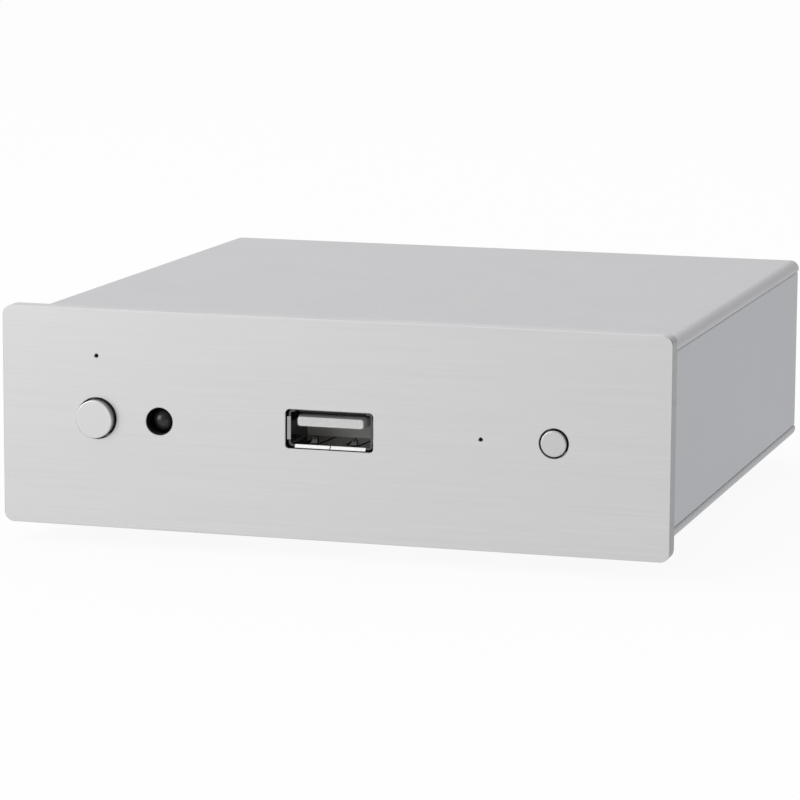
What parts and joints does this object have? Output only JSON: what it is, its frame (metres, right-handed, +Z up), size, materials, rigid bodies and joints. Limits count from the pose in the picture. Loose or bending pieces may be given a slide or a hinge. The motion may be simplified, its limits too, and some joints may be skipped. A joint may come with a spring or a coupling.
{
  "type": "network music streamer",
  "caption": "Low metal box with a brushed front plate: power and source buttons, infrared window, type-A host port; audio, network, power and antenna sockets at the rear.",
  "frame": {"origin": "on the surface it stands on, under the middle of the whole box with its sockets and buttons", "axes": "+X to the right of the front panel, +Y to the back, +Z up"},
  "size_m": [0.103, 0.1156, 0.0359],
  "materials": {
    "brushed_aluminium": "fine horizontal brushing, clear anodised",
    "blasted_aluminium": "fine bead-blasted satin",
    "rear_aluminium": "satin anodised",
    "button_aluminium": "turned and satin anodised",
    "screw_steel": "zinc plated",
    "foot_rubber": "moulded matt",
    "board_laminate": "green solder mask on glass laminate",
    "black_plastic": "moulded, light texture",
    "tongue_plastic": "moulded, pale",
    "clear_plastic": "clear moulded",
    "dark_lens": "glossy infrared resin",
    "lamp_resin": "clear",
    "nickel": "nickel plated sheet and turned parts",
    "gold_contact": "gold plated",
    "white_insulator": "moulded",
    "red_insulator": "moulded",
    "chip_resin": "moulded",
    "can_aluminium": "drawn can",
    "ferrite": "pressed and sintered",
    "lead_jacket": "extruded jacket"
  },
  "bodies": {
    "case": {"antenna_lead": "lead_jacket", "antenna_lead_plug": "gold_contact", "antenna_socket_body": "gold_contact", "antenna_socket_core": "white_insulator", "antenna_socket_nut": "nickel", "antenna_socket_washer": "nickel", "audio_capacitors": "can_aluminium", "audio_converter_chip": "chip_resin", "board_screws": "screw_steel", "board_standoffs": "screw_steel", "bottom_cover": "blasted_aluminium", "case_screws": "screw_steel", "clock_crystals": "nickel", "foot_front_left": "foot_rubber", "foot_front_right": "foot_rubber", "foot_rear_left": "foot_rubber", "foot_rear_right": "foot_rubber", "foot_screws": "screw_steel", "front_panel": "brushed_aluminium", "heat_sink": "can_aluminium", "host_port_contacts": "gold_contact", "host_port_insert": "tongue_plastic", "host_port_shell": "nickel", "indicator_lamps": "lamp_resin", "infrared_receiver": "dark_lens", "infrared_receiver_leads": "nickel", "left_side_wall": "blasted_aluminium", "main_board": "board_laminate", "network_jack_contacts": "gold_contact", "network_jack_insert": "black_plastic", "network_jack_shell": "nickel", "optical_shutter_pin": "nickel", "optical_socket_body": "black_plastic", "output_amplifier_chip": "chip_resin", "phono_left_barrel": "nickel", "phono_left_insulator": "white_insulator", "phono_right_barrel": "nickel", "phono_right_insulator": "red_insulator", "phono_socket_housing": "black_plastic", "power_capacitors": "can_aluminium", "power_inductors": "ferrite", "power_inlet_body": "black_plastic", "power_inlet_pin": "nickel", "power_light_guide": "clear_plastic", "power_switch_body": "black_plastic", "processor_chip": "chip_resin", "radio_module_board": "board_laminate", "radio_module_headers": "black_plastic", "radio_module_shield": "nickel", "rear_panel": "rear_aluminium", "right_side_wall": "blasted_aluminium", "source_light_guide": "clear_plastic", "source_switch_body": "black_plastic", "top_cover": "blasted_aluminium", "voltage_regulators": "chip_resin"},
    "power_button": {"power_button_cap": "button_aluminium", "power_switch_plunger": "black_plastic"},
    "source_button": {"source_button_cap": "button_aluminium", "source_switch_plunger": "black_plastic"},
    "optical_shutter": {"optical_shutter": "black_plastic"}
  },
  "joints": [
    {"name": "power_button_press", "type": "slide", "parent": "case", "child": "power_button", "axis": [0, 1, 0], "range_m": [0, 0.0005], "stiffness_N_per_m": 400, "springref_m": -0.0005},
    {"name": "source_button_press", "type": "slide", "parent": "case", "child": "source_button", "axis": [0, 1, 0], "range_m": [0, 0.0003], "stiffness_N_per_m": 400, "springref_m": -0.0005},
    {"name": "optical_shutter_swing", "type": "hinge", "parent": "case", "child": "optical_shutter", "pos_m": [0.00405, 0.0457, 0.0248], "axis": [-1, 0, 0], "range_deg": [0, 80], "stiffness_Nm_per_rad": 0.00005, "springref_deg": -17.19}
  ]
}
